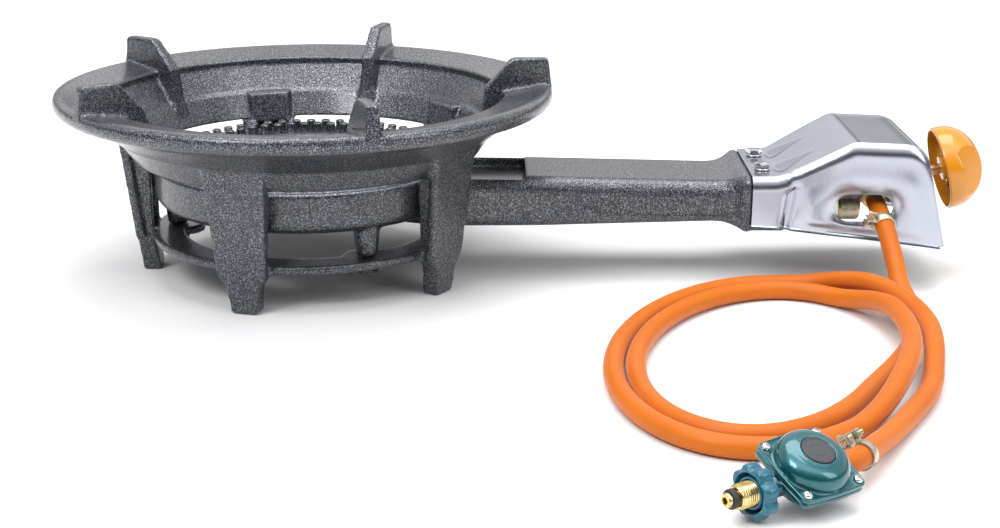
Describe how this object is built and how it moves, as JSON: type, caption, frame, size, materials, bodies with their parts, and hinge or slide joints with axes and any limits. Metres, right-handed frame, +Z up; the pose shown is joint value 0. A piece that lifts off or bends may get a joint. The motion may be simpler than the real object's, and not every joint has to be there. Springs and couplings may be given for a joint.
{
  "type": "propane burner stand",
  "caption": "High-pressure gas burner on a round cast stand with pot supports, mixing neck, chromed valve cover with knob, coiled hose and regulator.",
  "frame": {"origin": "on the floor, at the middle of the footprint of the stand, burner and knob, the hose and regulator left out", "axes": "+Z up, +X from the burner bowl along the mixing neck to the knob, -Y the side where the hose leaves"},
  "size_m": [0.6489, 0.605, 0.1495],
  "materials": {
    "hammertone": "dark silver-grey hammertone enamel",
    "chrome_cover": "polished",
    "yellow_zinc": "yellow zinc plated",
    "brass": "machined",
    "bronze": "turned",
    "bright_steel": "bright zinc plated",
    "black_steel": "black oxide",
    "knob_plastic": "gloss",
    "hose_rubber": "satin orange",
    "regulator_paint": "metallic teal gloss",
    "cap_plastic": "matt",
    "handwheel_plastic": "satin",
    "black_rubber": "matt"
  },
  "bodies": {
    "stand": {"stand_casting": "hammertone", "burner_body": "hammertone", "burner_head": "hammertone", "head_bolt": "black_steel", "burner_bolt_1": "black_steel", "burner_bolt_2": "black_steel", "burner_bolt_3": "black_steel", "valve_cover": "chrome_cover", "cover_screw_1": "bright_steel", "cover_screw_2": "bright_steel", "valve_body": "yellow_zinc", "jet": "brass", "valve_bonnet": "brass", "bonnet_nut": "brass", "hose_barb": "brass", "hose_lead": "hose_rubber", "hose_coil": "hose_rubber", "hose_tail": "hose_rubber", "clamp_band_1": "yellow_zinc", "clamp_nut_1": "yellow_zinc", "clamp_screw_1": "yellow_zinc", "clamp_band_2": "yellow_zinc", "clamp_nut_2": "yellow_zinc", "clamp_screw_2": "yellow_zinc", "regulator_body": "regulator_paint", "regulator_cover": "regulator_paint", "regulator_cap": "cap_plastic", "regulator_diaphragm": "black_rubber", "diaphragm_plate": "bright_steel", "regulator_spring": "bright_steel", "regulator_lever": "bright_steel", "regulator_screw_1": "bright_steel", "regulator_screw_2": "bright_steel", "regulator_screw_3": "bright_steel", "regulator_screw_4": "bright_steel", "inlet_stem": "brass", "nose_seal": "black_rubber"},
    "knob_group": {"knob": "knob_plastic", "valve_spindle": "bronze"},
    "handwheel_group": {"handwheel": "handwheel_plastic", "connector_sleeve": "brass"}
  },
  "joints": [
    {"name": "knob_turn", "type": "hinge", "parent": "stand", "child": "knob_group", "pos_m": [0.2321, 0, 0.057], "axis": [0.9703, 0, 0.2419], "range_deg": [0, 270]},
    {"name": "handwheel_turn", "type": "hinge", "parent": "stand", "child": "handwheel_group", "pos_m": [0.10762, -0.41915, 0.01456], "axis": [-0.829, -0.5592, 0], "continuous": true}
  ]
}
